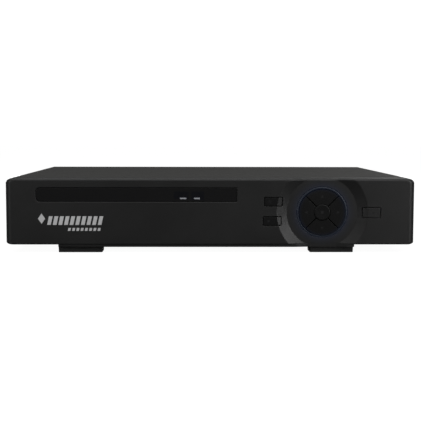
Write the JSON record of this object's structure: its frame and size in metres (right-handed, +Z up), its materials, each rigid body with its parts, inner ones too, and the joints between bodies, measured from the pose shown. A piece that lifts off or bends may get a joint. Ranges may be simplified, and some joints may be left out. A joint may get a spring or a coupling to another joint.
{
  "type": "dvr recorder",
  "caption": "Flat black video recorder: folded steel case, moulded front with smoked strip, round lit keypad in a dish, side keys, rear video and network sockets.",
  "frame": {"origin": "on the floor, midway across the case and midway between the front face and the tips of the rear video jacks", "axes": "+X right, +Y from the front face to the back, +Z up"},
  "size_m": [0.3, 0.24, 0.055],
  "materials": {
    "painted_steel": "fine-textured satin black powder coat",
    "satin_plastic": "fine satin black moulding",
    "key_plastic": "smooth semi-gloss black",
    "smoked_acrylic": "smoked, glossy",
    "blue_light_guide": "translucent deep blue",
    "blue_lens": "clear blue lens",
    "bright_steel": "bright zinc plate",
    "nickel": "nickel plate",
    "rubber": "soft black",
    "board": "green solder mask",
    "switch_grey": "dark grey",
    "infrared_window": "dark filter",
    "black_anodised": "black anodised",
    "cast_aluminium": "machined casting",
    "platter": "polished",
    "red_cable": "smooth red jacket",
    "black_cable": "smooth black jacket",
    "grey_cable": "grey jacket",
    "fan_black": "moulded black"
  },
  "bodies": {
    "case": {"base_tray": "painted_steel", "top_cover": "painted_steel", "front_bezel": "satin_plastic", "bnc_housing": "satin_plastic", "audio_jacks": "satin_plastic", "power_jack": "satin_plastic", "buzzer": "satin_plastic", "display_window": "smoked_acrylic", "light_ring": "blue_light_guide", "cover_screw_left_front": "bright_steel", "cover_screw_left_rear": "bright_steel", "cover_screw_back_left": "bright_steel", "cover_screw_right_front": "bright_steel", "cover_screw_right_rear": "bright_steel", "cover_screw_back_right": "bright_steel", "hard_drive_lid": "bright_steel", "foot_front_left": "rubber", "foot_front_right": "rubber", "foot_rear_left": "rubber", "foot_rear_right": "rubber", "switch_up": "switch_grey", "switch_left": "switch_grey", "switch_down": "switch_grey", "switch_right": "switch_grey", "switch_ok": "switch_grey", "switch_upper": "switch_grey", "switch_lower": "switch_grey", "switch_power": "switch_grey", "front_board": "board", "main_board": "board", "power_led": "blue_lens", "record_led": "blue_lens", "ir_receiver": "infrared_window", "heat_sink": "black_anodised", "backup_battery": "nickel", "bnc_jack_1": "nickel", "bnc_jack_2": "nickel", "bnc_jack_3": "nickel", "bnc_jack_4": "nickel", "vga_port": "nickel", "hdmi_port": "nickel", "lan_port": "nickel", "usb_port": "nickel", "hard_drive": "cast_aluminium", "sata_data_cable": "red_cable", "sata_power_cable": "black_cable", "fan_lead": "black_cable", "front_ribbon": "grey_cable", "fan_frame": "fan_black"},
    "up_button": {"key_up": "key_plastic"},
    "down_button": {"key_down": "key_plastic"},
    "left_button": {"key_left": "key_plastic"},
    "right_button": {"key_right": "key_plastic"},
    "centre_button": {"key_ok": "key_plastic"},
    "upper_button": {"function_key_upper": "key_plastic"},
    "lower_button": {"function_key_lower": "key_plastic"},
    "power_button": {"power_key": "key_plastic"},
    "fan": {"fan_rotor": "fan_black"},
    "platters": {"disk_platters": "platter"},
    "heads": {"head_arm": "bright_steel"}
  },
  "joints": [
    {"name": "up_press", "type": "slide", "parent": "case", "child": "up_button", "axis": [0, 1, 0], "range_m": [0, 0.0008], "stiffness_N_per_m": 1000},
    {"name": "down_press", "type": "slide", "parent": "case", "child": "down_button", "axis": [0, 1, 0], "range_m": [0, 0.0008], "stiffness_N_per_m": 1000},
    {"name": "left_press", "type": "slide", "parent": "case", "child": "left_button", "axis": [0, 1, 0], "range_m": [0, 0.0008], "stiffness_N_per_m": 1000},
    {"name": "right_press", "type": "slide", "parent": "case", "child": "right_button", "axis": [0, 1, 0], "range_m": [0, 0.0008], "stiffness_N_per_m": 1000},
    {"name": "centre_press", "type": "slide", "parent": "case", "child": "centre_button", "axis": [0, 1, 0], "range_m": [0, 0.0008], "stiffness_N_per_m": 1000},
    {"name": "upper_press", "type": "slide", "parent": "case", "child": "upper_button", "axis": [0, 1, 0], "range_m": [0, 0.0008], "stiffness_N_per_m": 1000},
    {"name": "lower_press", "type": "slide", "parent": "case", "child": "lower_button", "axis": [0, 1, 0], "range_m": [0, 0.0008], "stiffness_N_per_m": 1000},
    {"name": "power_press", "type": "slide", "parent": "case", "child": "power_button", "axis": [0, 1, 0], "range_m": [0, 0.0008], "stiffness_N_per_m": 1000},
    {"name": "fan_spin", "type": "hinge", "parent": "case", "child": "fan", "pos_m": [0.1225, 0.0957, 0.03], "axis": [0, 1, 0], "continuous": true},
    {"name": "disk_spin", "type": "hinge", "parent": "case", "child": "platters", "pos_m": [-0.069, -0.0432, 0.0162], "axis": [0, 0, 1], "continuous": true},
    {"name": "head_swing", "type": "hinge", "parent": "case", "child": "heads", "pos_m": [0.001, -0.071, 0.0162], "axis": [0, 0, -1], "range_deg": [0, 28]}
  ]
}
